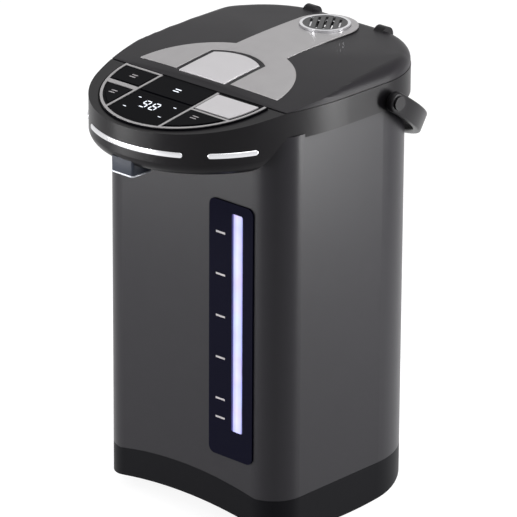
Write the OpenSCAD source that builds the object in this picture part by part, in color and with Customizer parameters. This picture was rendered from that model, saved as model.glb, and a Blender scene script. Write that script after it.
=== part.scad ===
// Electric thermo pot: a heated water pot with a pumped spout, a lit water gauge,
// a hinged lid and a carrying bail. Millimetres, +Z up, front towards -Y.
// The origin is on the table, under the middle of the pot's whole outline.

/* [Body] */
// Width of the steel body
body_w = 199; // [196:1:204]
// Depth of the steel body
body_d = 194; // [192:1:198]
// Radius of the body's front corners
front_corner_r = 28; // [25:1:30]
// Radius of the body's rear corners
rear_corner_r = 70; // [66:1:74]
// Thickness of the painted steel sheet
sheet_t = 0.8; // [0.6:0.1:1]
// Height of the joint between steel body and base
seam_z = 36; // [34:1:37]
// Height of the body's upper edge, inside the head
body_top_z = 348; // [344:1:352]

/* [Base] */
// Clearance of the base's lower edge over the table, at its lowest
base_lift = 2; // [1.5:0.5:3]
// Radius of the base's lower edge seen from the side
keel_r = 420; // [400:10:460]
// Wall of the moulded base
base_wall = 3; // [2.5:0.5:3.5]
// Top of the arch in the base's front edge
arch_top_z = 18; // [16:0.5:18]
// Rise of the arch over its foot
arch_rise = 7; // [5:0.5:8]
// Half width of the arch at its foot
arch_half_w = 79; // [76:1:82]
// Rise of the seam over the arch
seam_rise = 8; // [5:1:9]
// Underside of the bottom cover
floor_z = 18; // [18:0.5:19]
// Thickness of the bottom cover
floor_t = 2.5; // [2:0.5:3]
// Radius of a rubber foot
foot_r = 9; // [8:0.5:10]
// Height of a rubber foot
foot_h = 3; // [3:0.5:4]
// Place of the feet to the side of the middle
foot_x = 66; // [62:1:68]
// Place of the feet before and behind the middle
foot_y = 54; // [52:1:58]

/* [Head] */
// Width of the head
head_w = 208; // [207:1:213]
// Reach of the nose in front of the body's middle
nose_reach = 168; // [165:0.5:172]
// Radius of the nose seen from above
nose_r = 94; // [93.5:0.5:96]
// Reach of the head behind the body's middle
head_rear = 101; // [100.5:0.5:103]
// Radius of the head's rear corners
head_rear_r = 74; // [70:1:76]
// Place where the head's straight sides begin
side_start_y = -20; // [-24:1:-16]
// Lower edge of the head's side band
band_z = 345; // [343:0.5:346]
// Underside of the nose
nose_z = 322; // [320:0.5:324]
// Radius of the nose's rounded underside
lip_r = 12; // [10:0.5:13]
// Parting plane between head and lid
rim_z = 368; // [367:0.5:370]
// Wall of the moulded head and lid
head_wall = 2.5; // [2:0.1:2.8]
// Radius of the pot's mouth in the head
mouth_r = 82; // [81:0.5:83]

/* [Lid] */
// Highest point of the lid
lid_top_z = 382.3; // [381:0.1:385]
// Place of the highest point behind the middle
lid_top_y = 75; // [70:1:80]
// Radius of the lid's flat crown, side to side
crown_r = 2400; // [2200:50:3000]
// Radius of the lid's rounded upper side edges
lid_side_r = 13; // [9:0.5:13.5]
// Front edge of the lid
lid_front_y = -83.6; // [-84:0.2:-83.2]
// Radius of the silver plate's fan
fan_r = 75.5; // [70:0.5:76]
// Half width of the silver plate's neck
neck_half_w = 27.5; // [25:0.5:30]
// Thickness of the silver plate
plate_t = 0.8; // [0.6:0.1:1]
// Place of the steam vent behind the middle
vent_y = 67; // [64:1:69]
// Radius of the steam vent's ring
vent_r = 21; // [19:0.5:23]
// Width of the lid release key
key_w = 50; // [49:0.5:51]
// Place of the release key and the panel's middle column to the side
column_x = -5; // [-6:1:-2]
// Radius of the release key's round rear edge
key_arc_r = 46; // [46:0.5:48]
// Width of the lid's dark frame around the release key
key_frame = 4.5; // [3.5:0.5:5]

/* [Control panel] */
// Radius of the panel
panel_r = 78; // [76:0.5:79]
// Slope of the panel, degrees
panel_tilt = 8.5; // [7:0.5:9]
// Rear edge of the panel
panel_y = -86.3; // [-87:0.1:-86.2]
// Travel of the panel's keys
key_travel = 1.2; // [0.8:0.1:1.4]
// Height of a key over the panel
key_proud = 0.8; // [0.6:0.1:1.2]

/* [Water] */
// Outer radius of the inner pot
pot_r = 90; // [89:0.2:90.4]
// Wall of the inner pot
pot_wall = 0.8; // [0.6:0.1:1]
// Underside of the inner pot
pot_floor_z = 70; // [68:0.5:74]
// Sideways place of the gauge tube
tube_x = 57; // [55:0.5:59]
// Outer radius of the gauge tube
tube_r = 4; // [3.5:0.1:4.2]
// Wall of the gauge tube
tube_wall = 1; // [0.8:0.1:1.2]
// Wall of the silicone hoses
hose_wall = 1.2; // [1:0.1:1.3]
// Reach of the spout in front of the body's middle
spout_reach = 146; // [143:1:147]
// Left edge of the gauge panel
gauge_left = 26.6; // [24:0.2:30]
// Right edge of the gauge panel
gauge_right = 74; // [72:0.5:74]
// Lower edge of the gauge panel
gauge_low_z = 64.5; // [62:0.5:68]
// Upper edge of the gauge panel
gauge_high_z = 285.5; // [280:0.5:290]
// Spacing of the gauge marks, one litre of water
mark_pitch = 36; // [34:0.5:37]
// Radius of the pump's casing
pump_r = 20; // [19:0.5:21]

/* [Handle] */
// Height of the bail's pivots
pivot_z = 352.5; // [352.2:0.1:353]
// Place of the bail's pivots behind the middle
pivot_y = 29; // [27:0.5:31]
// Inner radius of the bail
bail_r = 107.5; // [107.5:0.5:109]
// Thickness of the bail
bail_t = 6.5; // [5.5:0.5:7]
// Width of the bail's strap
strap_w = 17; // [15:0.5:18]
// Slope of the resting bail, degrees below level
bail_slope = 33; // [31:1:36]
// Radius of the handle pins
pin_r = 3.5; // [3.2:0.1:3.5]

/* [Hidden] */
$fn = 96;
fine = 360;                       // facets on the largest circles
fit = 0.15;                       // gap between fitted fixed pieces
run = 0.05;                       // radial running clearance of a pin
part_gap = 0.3;                   // gap between pieces that move apart
eps = 0.01;                       // thickness of a hull's slices
cut = 1;                          // overshoot of a cutting solid

// ---- frame
bail_out_r = bail_r + bail_t;
bail_back = pivot_y + bail_out_r * cos(bail_slope) + strap_w / 2 * sin(bail_slope);
middle_y = (nose_reach - bail_back) / 2;

// ---- head outline: nose arc, two long side arcs, straight sides, rear corners
half_w = head_w / 2;
nose_c = nose_reach - nose_r;
side_h = nose_c + side_start_y;
side_r = (side_h * side_h / (half_w - nose_r) + half_w + nose_r) / 2;
lap_y = 3 - nose_c - nose_r * side_h / (side_r - nose_r);

// ---- levels inside the head
deck_t = 2.5;
seal_t = 3.2;
rim_t = 0.8;
ring_t = 3;
pot_rim_z = body_top_z - seal_t - rim_t;
ring_z = pot_rim_z - ring_t;
deck_top_z = body_top_z + deck_t;
wall_t = 2;                       // wall behind the panel
wall_y = panel_y + 0.3;
well_y = wall_y + wall_t;
panel_z = rim_z + 1.2;            // panel's top face at its rear edge
slope_y = -110;                   // slanted rear edge of the nose
slope_run = 24;
strip_low_z = 338.2;              // lower edge of the bright strips
strip_h = 4.6;
floor_in_z = band_z + head_wall;

// ---- gauge and plumbing
skin_y = -body_d / 2;
keel_y = -10;                     // lowest place of the base's lower edge
seam_half_w = 76;                 // half width of the seam's rise over the arch
inner_skin_y = skin_y + sheet_t;
hose_in_r = tube_r + 0.1;
hose_r = hose_in_r + hose_wall;
tube_y = inner_skin_y + hose_r + 0.2;
over_z = body_top_z - hose_r - 0.3;
bend_r = 8;
wide_bend_r = 20;
tube_low_z = 74;
tube_high_z = over_z - bend_r - 3;
pump_y = -40;
pump_x = tube_x;
pump_z = 43.5;
pump_h = 13.5;
pump_wall = 2;
pump_out_z = pump_z + pump_h / 2;
stub_r = 5.4;
motor_z = floor_z + floor_t;
window_w = 12.4;
window_low_z = gauge_low_z + 24.5;
window_high_z = gauge_high_z - 8.5;
first_mark_z = 114;

// ---- lid
lid_gap_z = rim_z + part_gap;
lid_front_z = rim_z + 2.6;
arch_r = (pow(lid_top_y - lid_front_y, 2) + pow(lid_top_z - lid_front_z, 2))
    / (2 * (lid_top_z - lid_front_z));
hinge_y = head_rear - 7;
hinge_z = rim_z + 9;
hinge_r = 7;
hinge_pin_r = 2;
ear_x = 34;
ear_t = 10;
key_hinge_y = -36;
key_hinge_z = 371;
key_t = 2.2;
fan_y = -72;
fan_back = 8;                     // place of the fan's centre in front of its straight edge
key_front_y = fan_y - 2;
tray_r = 79.5;
wedge_rise = 3.4;                 // height of the latch wedge's slope at its front
tray_z = deck_top_z + 3.3;
tray_t = 2.2;
post_xy = [[58, -42], [-58, -42], [52, 48], [-52, 48]];
lid_inset = 0.4;                  // step from the head's side to the lid's
side_lap = 0.1;                   // reach of the side rounds past the lid's side

// ---- control panel, in the panel's own plane
board_z = -9.5;
board_t = 1.6;
plate_h = 2.2;
line_w = 2.2;
line_h = 0.5;
col_l = column_x - 31;
col_r = column_x + 31;
row_d = 30;
key_r = panel_r - 6;

module at_middle() translate([0, middle_y, 0]) children();
module both_sides() for (s = [-1, 1]) scale([1, 1, 1]) mirror([s < 0 ? 1 : 0, 0, 0]) children();

// Rounded outline of the steel body
module body_plan(grow = 0) {
    w = body_w / 2 + grow;
    d = body_d / 2 + grow;
    rf = front_corner_r + grow;
    rr = rear_corner_r + grow;
    polygon([[w - rf, -d], [w, rf - d], [w, d - rr], [w - rr, d],
        [rr - w, d], [-w, d - rr], [-w, rf - d], [rf - w, -d]]);
    for (s = [-1, 1]) {
        translate([s * (w - rf), rf - d]) circle(rf);
        translate([s * (w - rr), d - rr]) circle(rr);
    }
}

// Outline of the head, seen from above
module head_plan(grow = 0, facets = fine) {
    a = half_w + grow;
    corner_x = half_w - head_rear_r;
    corner_y = head_rear - head_rear_r;
    translate([0, -nose_c]) circle(nose_r + grow, $fn = facets);
    intersection() {
        translate([half_w - side_r, side_start_y]) circle(side_r + grow, $fn = 2 * facets);
        translate([side_r - half_w, side_start_y]) circle(side_r + grow, $fn = 2 * facets);
        translate([-a, lap_y]) square([2 * a, side_start_y - lap_y]);
    }
    translate([-a, side_start_y]) square([2 * a, corner_y - side_start_y]);
    translate([-corner_x, side_start_y])
        square([2 * corner_x, head_rear + grow - side_start_y]);
    for (s = [-1, 1])
        translate([s * corner_x, corner_y]) circle(head_rear_r + grow, $fn = facets);
}

// Everything below the lid's arched and crowned top, lowered by drop
module dome_block(drop = 0) {
    translate([0, 0, lid_top_z - crown_r])
        rotate([90, 0, 0])
            rotate([0, 0, 86])
                rotate_extrude(angle = 8, $fn = 1800)
                    intersection() {
                        translate([crown_r - arch_r, -lid_top_y])
                            circle(arch_r - drop, $fn = 720);
                        translate([crown_r - 60, -125]) square([70, 250]);
                    }
}

// Children in the plane of the control panel: X to the right, -Y towards the front
module on_panel() translate([0, panel_y, panel_z]) rotate([panel_tilt, 0, 0]) children();

// Half disc of the control panel
module panel_shape(r = panel_r) {
    intersection() {
        circle(r, $fn = 180);
        translate([-r, -r]) square([2 * r, r]);
    }
}

// One cell of the panel between two columns and two rows
module cell(x0, x1, d0, d1, inset = 0) {
    intersection() {
        circle(key_r - inset, $fn = 180);
        translate([x0 + inset, -d1 + inset]) square([x1 - x0 - 2 * inset, d1 - d0 - 2 * inset]);
    }
}
module lock_cell(i = 0) cell(-key_r, col_l - 2, 4, row_d - 4, i);
module timer_cell(i = 0) cell(-key_r, col_l - 2, row_d + 5, key_r, i);
module boil_cell(i = 0) cell(col_l + 2, col_r - 2, 3.3, row_d - 1, i);
module screen_cell(i = 0) cell(col_l + 2, col_r - 2, row_d + 2, key_r, i);
module dispense_cell(i = 0) cell(col_r + 2, key_r, 3.5, row_d + 1, i);
module cooling_cell(i = 0) cell(col_r + 2, key_r, row_d + 5, key_r, i);

// Straight length along +Z, and a quarter bend from +Z to +Y
module leg(r, len) cylinder(r = r, h = len);
module bend(r, around) translate([0, around, 0]) rotate([90, 0, -90])
    rotate_extrude(angle = 90) translate([around, 0]) circle(r);

// ---- base and body

// Cylinder along Y whose top is the arch line over the front edge
module front_arch(top, rise, half) {
    r = (half * half + rise * rise) / (2 * rise);
    translate([0, -60, top - r]) rotate([90, 0, 0])
        cylinder(r = r, h = body_d, $fn = fine);
}

module outer_body() at_middle() color([0.24, 0.24, 0.26]) difference() {
    translate([0, 0, seam_z]) linear_extrude(body_top_z - seam_z) difference() {
        body_plan();
        body_plan(-sheet_t);
    }
    front_arch(seam_z + seam_rise, seam_rise, seam_half_w);
    translate([tube_x - window_w / 2 - 1, skin_y - cut, window_low_z - 1])
        cube([window_w + 2, 3 * cut, window_high_z - window_low_z + 2]);
    translate([tube_x - hose_r - 0.6, skin_y - cut, over_z - hose_r - 0.6])
        cube([2 * hose_r + 1.2, 3 * cut, 30]);
    translate([-20.3, body_d / 2 - 3, 40.7]) cube([40.6, 5, 20.6]);
}

module base_skirt() at_middle() color([0.12, 0.12, 0.13]) {
    tongue = sheet_t + fit;
    difference() {
        intersection() {
            union() {
                linear_extrude(seam_z - fit) body_plan();
                intersection() {
                    linear_extrude(60) body_plan();
                    front_arch(seam_z + seam_rise - fit, seam_rise, seam_half_w);
                }
                linear_extrude(seam_z + seam_rise + 4) body_plan(-tongue);
            }
            translate([-150, keel_y, base_lift + keel_r]) rotate([0, 90, 0])
                cylinder(r = keel_r, h = 300, $fn = fine);
        }
        translate([0, 0, -cut]) linear_extrude(80) body_plan(-base_wall - tongue);
        intersection() {
            front_arch(arch_top_z, arch_rise, arch_half_w);
            translate([-88, -150, 0]) cube([176, 65, 30]);
        }
        translate([-21, body_d / 2 - 8, 40]) cube([42, 10, 22]);
    }
    for (s = [-1, 1], y = [skin_y + 8, -skin_y - 8])
        translate([s * screw_x(y), y, motor_z]) difference() {
            cylinder(r = 4.6, h = 13);
            translate([0, 0, -cut]) cylinder(r = 1.45, h = 11);
        }
}
function screw_x(y) = y < 0 ? 40 : 24;

module bottom_cover() at_middle() color([0.16, 0.16, 0.17]) difference() {
    union() {
        translate([0, 0, floor_z]) linear_extrude(floor_t)
            body_plan(-base_wall - sheet_t - 2 * fit);
        for (s = [-1, 1], y = [-foot_y, foot_y])
            translate([s * foot_x, y, foot_h]) cylinder(r = foot_r + 3, h = floor_z - foot_h + 1);
    }
    for (s = [-1, 1], y = [skin_y + 8, -skin_y - 8])
        translate([s * screw_x(y), y, 0]) cylinder(r = 1.7, h = 40);
    for (x = [-30 : 10 : 30])
        translate([x - 2, 20, 0]) cube([4, 36, 40]);
}

module rubber_feet() at_middle() color([0.06, 0.06, 0.06])
    for (s = [-1, 1], y = [-foot_y, foot_y])
        translate([s * foot_x, y, 0]) cylinder(r = foot_r, h = foot_h);

module bottom_screws() at_middle() color("silver")
    for (s = [-1, 1], y = [skin_y + 8, -skin_y - 8])
        translate([s * screw_x(y), y, floor_z - 2]) difference() {
            union() {
                cylinder(r = 3, h = 2);
                cylinder(r = 1.4, h = 12);
            }
            translate([-2, -0.4, -cut]) cube([4, 0.8, cut + 0.8]);
        }

module power_board() at_middle() color([0.15, 0.4, 0.2]) translate([-80, -38, motor_z]) {
    for (x = [4, 76], y = [4, 56]) translate([x, y, 0]) cylinder(r = 2.5, h = 8);
    translate([0, 0, 7]) cube([80, 60, 1.6]);
    translate([8, 8, 8]) cube([16, 20, 16]);
    translate([32, 10, 8]) cube([26, 24, 20]);
    translate([10, 38, 8]) cube([30, 12, 12]);
    translate([64, 40, 8]) cylinder(r = 6, h = 18);
}

module mains_inlet() at_middle() color([0.1, 0.1, 0.1]) {
    back = body_d / 2;
    difference() {
        union() {
            translate([-20, back - 22, 41]) cube([40, 22, 20]);
            translate([-23, back + 0.1, 38]) cube([46, 2, 26]);
        }
        translate([-16, back - 12, 44]) cube([32, 20, 14]);
    }
    for (x = [-8, 8]) translate([x, back - 13, 51]) rotate([-90, 0, 0]) cylinder(r = 2, h = 8);
    translate([-20, back - 28, motor_z]) cube([40, 6, 36]);
}

// ---- water side

module inner_pot() at_middle() color([0.75, 0.75, 0.76]) difference() {
    union() {
        rotate_extrude() difference() {
            union() {
                translate([0, pot_floor_z]) square([pot_r - 8, 8]);
                translate([0, pot_floor_z + 8]) square([pot_r, pot_rim_z + rim_t - pot_floor_z - 8]);
                translate([pot_r - 8, pot_floor_z + 8]) circle(8);
                translate([0, pot_rim_z]) square([pot_r + 4, rim_t]);
            }
            translate([0, pot_floor_z + pot_wall]) square([pot_r - 8, 8]);
            translate([0, pot_floor_z + 8]) square([pot_r - pot_wall, pot_rim_z]);
            translate([pot_r - 8, pot_floor_z + 8]) circle(8 - pot_wall);
            translate([-40, pot_floor_z - cut]) square([40, pot_rim_z]);
        }
        translate([pump_x, pump_y, pot_floor_z - 6]) cylinder(r = stub_r, h = 6.4);
    }
    translate([pump_x, pump_y, pot_floor_z - 10]) cylinder(r = stub_r - 1.2, h = 14);
}

module pot_ring() at_middle() color([0.2, 0.2, 0.2]) translate([0, 0, ring_z])
    linear_extrude(ring_t) difference() {
        body_plan(-sheet_t - fit);
        circle(pot_r + 0.4);
        translate([tube_x - hose_r - 0.4, skin_y - cut]) square([2 * hose_r + 0.8, 2 * hose_r + 2.2]);
        collar_screw_places() circle(1.45);
    }

module collar_screw_places() for (s = [-1, 1]) {
    translate([s * 82, -76]) children();
    translate([s * 73, 67]) children();
}

module rim_seal() at_middle() color([0.85, 0.85, 0.85]) translate([0, 0, pot_rim_z + rim_t])
    difference() {
        cylinder(r = pot_r + 4, h = seal_t);
        translate([0, 0, -cut]) cylinder(r = pot_r - 3, h = seal_t + 2 * cut);
    }

module heater_plate() at_middle() color([0.7, 0.7, 0.68]) translate([0, 0, pot_floor_z - 3.5])
    difference() {
        cylinder(r = pot_r - 15, h = 3.5);
        translate([pump_x, pump_y, -cut]) cylinder(r = stub_r + 4, h = 6);
    }

module dry_boil_thermostat() at_middle() color([0.85, 0.83, 0.78])
    translate([-30, 45, pot_floor_z - 11.5]) {
        cylinder(r = 8, h = 8);
        translate([-12, -3, 7]) cube([24, 6, 1]);
    }

module temperature_sensor() at_middle() color([0.8, 0.6, 0.3])
    translate([-10, -50, pot_floor_z - 13.5]) {
        cylinder(r = 3, h = 10);
        translate([0, 0, 8]) cylinder(r = 5, h = 2);
    }

module inlet_hose() at_middle() color([0.9, 0.9, 0.9])
    translate([pump_x, pump_y, pump_z + pump_h]) difference() {
        cylinder(r = stub_r + 1.7, h = pot_floor_z - pump_z - pump_h - 0.2);
        translate([0, 0, -cut]) cylinder(r = stub_r + 0.1, h = 40);
    }

module pump_casing() at_middle() color([0.9, 0.9, 0.88]) translate([pump_x, pump_y, 0])
    difference() {
        union() {
            translate([0, 0, pump_z]) cylinder(r = pump_r, h = pump_h);
            translate([0, 0, pump_z]) cylinder(r = stub_r, h = pump_h + 5.5);
            translate([0, -pump_r + 4, pump_out_z]) rotate([90, 0, 0])
                cylinder(r = tube_r, h = 14);
        }
        translate([0, 0, pump_z + pump_wall])
            cylinder(r = pump_r - 3, h = pump_h - 2 * pump_wall);
        translate([0, 0, pump_z + pump_wall + 2]) cylinder(r = stub_r - 1.2, h = 40);
        translate([0, -pump_r + 8, pump_out_z]) rotate([90, 0, 0])
            cylinder(r = tube_r - tube_wall, h = 30);
    }

module pump_impeller() at_middle() color([0.95, 0.95, 0.95])
    translate([pump_x, pump_y, pump_z + pump_wall + 0.3]) {
        cylinder(r = pump_r - 5, h = 3);
        cylinder(r = 3.4, h = 7);
        for (a = [0 : 60 : 300]) rotate([0, 0, a]) translate([2.5, -0.7, 2.5])
            cube([pump_r - 8, 1.4, 4.5]);
    }

module pump_can() at_middle() color([0.3, 0.3, 0.3]) translate([pump_x, pump_y, motor_z])
    difference() {
        cylinder(r = pump_r, h = pump_z - motor_z);
        translate([0, 0, -cut]) cylinder(r = pump_r - 2, h = 60);
        translate([-pump_r - cut, -4, -cut]) cube([8, 8, 10]);
    }

module pump_motor() at_middle() color([0.6, 0.6, 0.62]) translate([pump_x, pump_y, motor_z]) {
    cylinder(r = pump_r - 2.3, h = 15.5);
    cylinder(r = 1.2, h = 20.6);
}

module drive_magnet() at_middle() color([0.25, 0.25, 0.28])
    translate([pump_x, pump_y, motor_z + 15.8]) difference() {
        cylinder(r = pump_r - 5, h = 6.4);
        translate([0, 0, -cut]) cylinder(r = 1.2 + run, h = 6);
    }

module riser_path(r, over) {
    start = pump_y - pump_r - 0.6;
    translate([tube_x, start + over, pump_out_z]) rotate([90, 0, 0])
        leg(r, start + over - tube_y - bend_r);
    translate([tube_x, tube_y, pump_out_z + bend_r]) mirror([0, 0, 1]) bend(r, bend_r);
    translate([tube_x, tube_y, pump_out_z + bend_r])
        leg(r, tube_low_z + 6 - pump_out_z - bend_r + over);
}
module riser_hose() at_middle() color([0.9, 0.9, 0.9]) difference() {
    riser_path(hose_r, 0);
    riser_path(hose_in_r, cut);
}

module gauge_tube() at_middle() color([0.8, 0.9, 1]) translate([tube_x, tube_y, tube_low_z])
    difference() {
        cylinder(r = tube_r, h = tube_high_z - tube_low_z);
        translate([0, 0, -cut]) cylinder(r = tube_r - tube_wall, h = 400);
    }

module outlet_path(r, over) {
    foot = tube_high_z - 6 - over;
    translate([tube_x, tube_y, foot]) leg(r, over_z - bend_r - foot);
    translate([tube_x, tube_y, over_z - bend_r]) rotate([0, 0, 180]) bend(r, bend_r);
    translate([tube_x, tube_y - bend_r, over_z]) rotate([90, 0, 0])
        leg(r, spout_reach + tube_y - bend_r - wide_bend_r);
    translate([tube_x, wide_bend_r - spout_reach, over_z]) rotate([90, 0, 0])
        rotate([0, 0, 90]) bend(r, wide_bend_r);
    translate([bend_r, -spout_reach, over_z]) rotate([0, 90, 0])
        leg(r, tube_x - wide_bend_r - bend_r);
    translate([0, -spout_reach, over_z - bend_r]) rotate([0, 0, -90]) bend(r, bend_r);
    if (over > 0) translate([0, -spout_reach, over_z - bend_r - over]) leg(r, over);
}
module outlet_hose() at_middle() color([0.9, 0.9, 0.9]) difference() {
    outlet_path(hose_r, 0);
    outlet_path(hose_in_r, cut);
}

module spout_nozzle() at_middle() color([0.3, 0.3, 0.3])
    translate([0, -spout_reach, 0]) difference() {
        union() {
            translate([0, 0, nose_z - 5]) cylinder(r = tube_r, h = over_z - bend_r - nose_z + 5);
            translate([0, 0, nose_z + head_wall]) cylinder(r = 7.5, h = 2);
        }
        translate([0, 0, nose_z - 20]) cylinder(r = tube_r - tube_wall, h = 60);
    }

// Solid of revolution that the nose's underside and its round lower edge enclose
module nose_underside(grow = 0) translate([0, -nose_c, 0]) rotate_extrude($fn = fine) {
    translate([0, nose_z]) square([nose_r - lip_r + 0.15, lip_r + 10]);
    intersection() {
        translate([nose_r - lip_r + 0.15, nose_z + lip_r - 0.3]) circle(lip_r + grow);
        translate([nose_r - lip_r, nose_z]) square([lip_r + 5, lip_r]);
    }
}

module spout_cover() at_middle() color([0.35, 0.36, 0.38]) difference() {
    translate([-12, -spout_reach - 17, nose_z - 8]) cube([24, 22, 12]);
    translate([-10.2, -spout_reach - 15.2, nose_z - 8 - cut]) cube([20.4, 18.4, 6.2 + cut]);
    translate([0, -spout_reach, 0]) cylinder(r = tube_r + 0.3, h = 400);
    nose_underside(0.1);
}

module gauge_panel() at_middle() color([0.05, 0.05, 0.06]) translate([0, skin_y - fit, 0])
    rotate([90, 0, 0]) linear_extrude(1.4) difference() {
        rounded_box(gauge_left, gauge_right, gauge_low_z, gauge_high_z, 6);
        rounded_box(tube_x - window_w / 2, tube_x + window_w / 2, window_low_z, window_high_z, 2);
    }

module rounded_box(x0, x1, y0, y1, r) {
    translate([x0 + r, y0]) square([x1 - x0 - 2 * r, y1 - y0]);
    translate([x0, y0 + r]) square([x1 - x0, y1 - y0 - 2 * r]);
    for (x = [x0 + r, x1 - r], y = [y0 + r, y1 - r]) translate([x, y]) circle(r);
}

module gauge_window() at_middle() color([0.8, 0.8, 0.96]) translate([0, skin_y + 0.9, 0])
    rotate([90, 0, 0]) linear_extrude(2.2)
        rounded_box(tube_x - window_w / 2 + fit, tube_x + window_w / 2 - fit,
            window_low_z + fit, window_high_z - fit, 2 - fit);

module gauge_light_board() at_middle() color([0.9, 0.95, 0.9])
    translate([tube_x + hose_r + 0.5, inner_skin_y + 0.1, window_low_z]) {
        cube([1.2, 9, window_high_z - window_low_z]);
        for (z = [6 : 20 : window_high_z - window_low_z - 6])
            translate([-0.9, 3, z]) cube([1, 3, 3]);
    }

module gauge_marks() at_middle() color([0.6, 0.6, 0.62]) {
    x = tube_x - window_w / 2 - 16.6;
    for (z = [first_mark_z - mark_pitch / 2.2, for (i = [0 : 4]) first_mark_z + i * mark_pitch])
        translate([x, skin_y - fit - 1.55, z - 0.8]) cube([10, 0.15, 1.6]);
}

// ---- head

// Solid outline of the head, cut off along the rim in the rear and the slope in the front
module head_block() difference() {
    translate([0, 0, nose_z]) linear_extrude(rim_z - nose_z) head_plan();
    on_panel() translate([-150, -150, -1.2]) cube([300, 150, 60]);
    translate([0, 0, 0]) rotate([90, 0, 90]) translate([0, 0, -150]) linear_extrude(300)
        polygon([[slope_y, nose_z - cut], [slope_y + slope_run, band_z], [200, band_z],
            [200, nose_z - cut]]);
}

module strip_ring(inner, outer, z0, z1, from, to) translate([0, -nose_c, 0])
    rotate([0, 0, from - 90]) rotate_extrude(angle = to - from, $fn = fine)
        translate([inner, z0]) square([outer - inner, z1 - z0]);

module strip_places(inner, outer, z0, z1) {
    strip_ring(inner, outer, z0, z1, -32, 32);
    strip_ring(inner, outer, z0, z1, 44, 69);
    strip_ring(inner, outer, z0, z1, -69, -44);
}

module head_collar() at_middle() color([0.14, 0.14, 0.15]) difference() {
    union() {
        difference() {
            head_block();
            // hollow of the nose
            difference() {
                intersection() {
                    union() {
                        translate([0, 0, nose_z + head_wall]) linear_extrude(60)
                            head_plan(-lip_r - 1);
                        translate([0, 0, nose_z + lip_r]) linear_extrude(60)
                            head_plan(-head_wall);
                    }
                    translate([-150, -200, 0]) cube([300, 200 + wall_y, 500]);
                    on_panel() translate([-150, -150, -150]) cube([300, 160, 150 - 1.2 - 3]);
                }
                rotate([90, 0, 90]) translate([0, 0, -150]) linear_extrude(300)
                    polygon([[slope_y - 2, nose_z], [slope_y + slope_run, floor_in_z],
                        [0, floor_in_z], [0, nose_z]]);
            }
            // well for the lid over the deck
            intersection() {
                translate([0, 0, deck_top_z]) linear_extrude(60) head_plan(-head_wall);
                translate([-150, well_y, 0]) cube([300, 300, 500]);
            }
        }
        // handle pin bosses and hinge ears
        both_sides() translate([half_w - 12, pivot_y, pivot_z]) rotate([0, 90, 0])
            cylinder(r = 7, h = 10);
        both_sides() translate([ear_x, hinge_y, hinge_z]) rotate([0, 90, 0])
            cylinder(r = hinge_r, h = ear_t);
        both_sides() translate([ear_x, hinge_y - hinge_r, deck_top_z - 0.5])
            cube([ear_t, 2 * hinge_r, hinge_z - deck_top_z + 0.5]);
    }
    // room of the body under the deck, and the mouth
    linear_extrude(body_top_z) body_plan(fit);
    translate([0, 0, -cut]) cylinder(r = mouth_r, h = 500);
    // deep panel opening and the ledge that carries the panel
    on_panel() translate([0, 0, -plate_h - 0.1]) linear_extrude(20) panel_shape(panel_r + fit);
    on_panel() translate([0, 0, -12]) linear_extrude(20) intersection() {
        panel_shape(panel_r - 4);
        translate([-100, -100]) square([200, 97]);
    }
    // spout, latch slot, rear notch for the lid's knuckle
    translate([0, -spout_reach, 0]) cylinder(r = tube_r + fit, h = 340);
    translate([column_x - 9, panel_y - 3, latch_z - 0.5]) cube([18, 12, 40]);
    translate([-ear_x + 0.3, hinge_y - 12, hinge_z - 12]) cube([2 * ear_x - 0.6, 40, 40]);
    // pins and screws
    both_sides() translate([half_w - 15, pivot_y, pivot_z]) rotate([0, 90, 0])
        cylinder(r = pin_r, h = 30);
    both_sides() translate([ear_x - cut, hinge_y, hinge_z]) rotate([0, 90, 0])
        cylinder(r = hinge_pin_r, h = ear_t - 2 + cut);
    collar_screw_places() cylinder(r = 1.6, h = 500);
    // round lower edge of the nose, and grooves of the trim
    translate([0, -nose_c, 0]) rotate([0, 0, 194]) rotate_extrude(angle = 152, $fn = fine)
        difference() {
            translate([nose_r - lip_r, nose_z - cut]) square([lip_r + 6, lip_r + cut - 0.3]);
            translate([nose_r - lip_r + 0.15, nose_z + lip_r - 0.3]) circle(lip_r);
        }
    strip_places(nose_r - 0.7, nose_r + 5, strip_low_z - 0.1, strip_low_z + strip_h + 0.1);
}
latch_z = tray_z + tray_t + 1.5;
wedge_y = key_front_y + 8;

module collar_screws() at_middle() color("silver") collar_screw_places()
    translate([0, 0, ring_z]) {
        cylinder(r = 1.4, h = deck_top_z - ring_z + 0.5);
        translate([0, 0, deck_top_z - ring_z]) cylinder(r = 2.8, h = 1.6);
    }

module trim_strips() at_middle() color([0.85, 0.85, 0.87])
    strip_places(nose_r - 0.6, nose_r + 0.9, strip_low_z, strip_low_z + strip_h);

module panel_plate() at_middle() color([0.04, 0.04, 0.05]) on_panel() {
    difference() {
        translate([0, 0, -plate_h]) linear_extrude(plate_h) panel_shape();
        translate([0, 0, -10]) linear_extrude(20) {
            lock_cell();
            timer_cell();
            boil_cell();
            dispense_cell();
            cooling_cell();
            screen_cell(1);
        }
    }
    for (p = [[col_l, -8], [col_r, -8], [col_l, -50], [col_r, -50]])
        translate([p[0], p[1], board_z]) cylinder(r = 1.9, h = -board_z - 1);
}

module panel_lines() at_middle() color([0.75, 0.75, 0.76]) on_panel() linear_extrude(line_h) {
    difference() {
        panel_shape(panel_r - 1.4);
        circle(panel_r - 1.4 - line_w, $fn = 180);
    }
    intersection() {
        circle(panel_r - 2.5, $fn = 180);
        union() {
            for (x = [col_l, col_r]) translate([x - 1.1, -key_r - 4]) square([2.2, key_r + 3]);
            translate([-panel_r, -row_d - 2.5]) square([col_l + panel_r, 5]);
            translate([-panel_r, -2.6]) square([col_l + panel_r, 2.2]);
            translate([col_r, -row_d - 4.4]) square([panel_r, 2]);
        }
    }
}

module display_window() at_middle() color([0.02, 0.02, 0.03]) on_panel()
    translate([0, 0, -1.6]) linear_extrude(1.6) screen_cell(1.15);

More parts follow.
